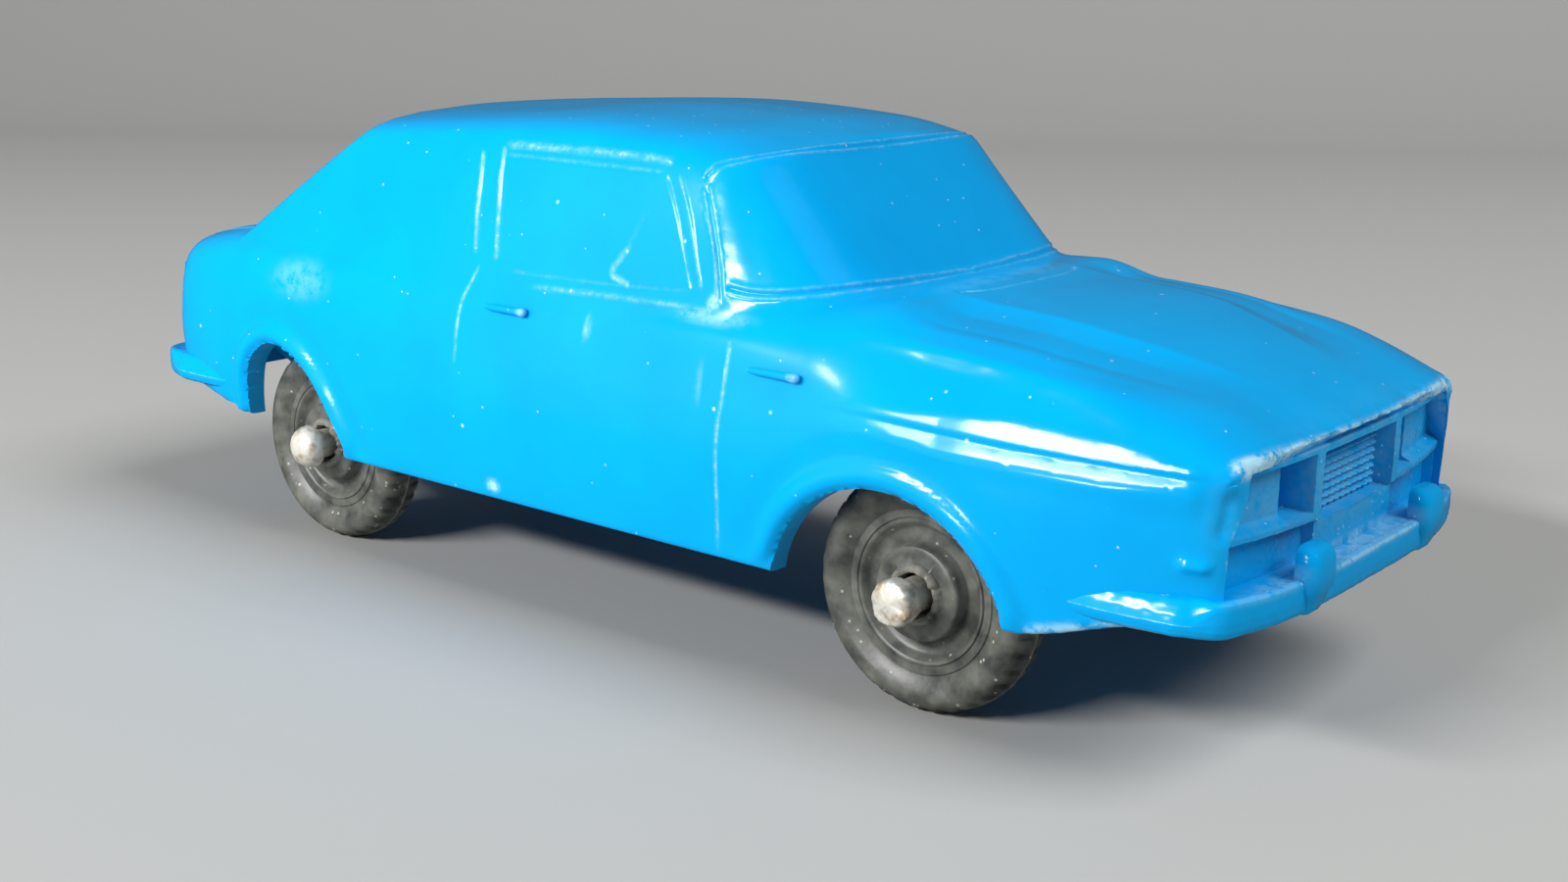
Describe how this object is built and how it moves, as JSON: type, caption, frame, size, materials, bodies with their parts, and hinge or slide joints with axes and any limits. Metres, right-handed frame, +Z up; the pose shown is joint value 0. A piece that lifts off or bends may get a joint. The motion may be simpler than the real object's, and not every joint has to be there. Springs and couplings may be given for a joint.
{
  "type": "toy car",
  "caption": "Small free-rolling model of a two-door saloon: one-piece moulded vinyl body shell on two steel axles with four one-piece wheels.",
  "frame": {"origin": "midway between the front and rear ends and between the sides, on the plane the wheels stand on", "axes": "+X towards the nose, +Y towards the car's left side, +Z up"},
  "size_m": [0.1028, 0.039, 0.0357],
  "materials": {
    "body_vinyl": "soft moulded vinyl, satin gloss, coloured through",
    "axle_steel": "drawn steel wire with upset heads, dull",
    "wheel_vinyl": "black moulded vinyl, dusty"
  },
  "bodies": {
    "body": {"body_shell": "body_vinyl"},
    "front_axle": {"front_axle": "axle_steel"},
    "rear_axle": {"rear_axle": "axle_steel"},
    "wheel_front_right": {"wheel_front_right": "wheel_vinyl"},
    "wheel_front_left": {"wheel_front_left": "wheel_vinyl"},
    "wheel_rear_right": {"wheel_rear_right": "wheel_vinyl"},
    "wheel_rear_left": {"wheel_rear_left": "wheel_vinyl"}
  },
  "joints": [
    {"name": "front_axle_spin", "type": "hinge", "parent": "body", "child": "front_axle", "pos_m": [0.02815, 0, 0.00795], "axis": [0, 1, 0], "continuous": true},
    {"name": "rear_axle_spin", "type": "hinge", "parent": "body", "child": "rear_axle", "pos_m": [-0.02935, 0, 0.00795], "axis": [0, 1, 0], "continuous": true},
    {"name": "front_right_roll", "type": "hinge", "parent": "front_axle", "child": "wheel_front_right", "pos_m": [0.02815, -0.0142, 0.00795], "axis": [0, 1, 0], "continuous": true},
    {"name": "front_left_roll", "type": "hinge", "parent": "front_axle", "child": "wheel_front_left", "pos_m": [0.02815, 0.0142, 0.00795], "axis": [0, 1, 0], "continuous": true},
    {"name": "rear_right_roll", "type": "hinge", "parent": "rear_axle", "child": "wheel_rear_right", "pos_m": [-0.02935, -0.0142, 0.00795], "axis": [0, 1, 0], "continuous": true},
    {"name": "rear_left_roll", "type": "hinge", "parent": "rear_axle", "child": "wheel_rear_left", "pos_m": [-0.02935, 0.0142, 0.00795], "axis": [0, 1, 0], "continuous": true}
  ]
}
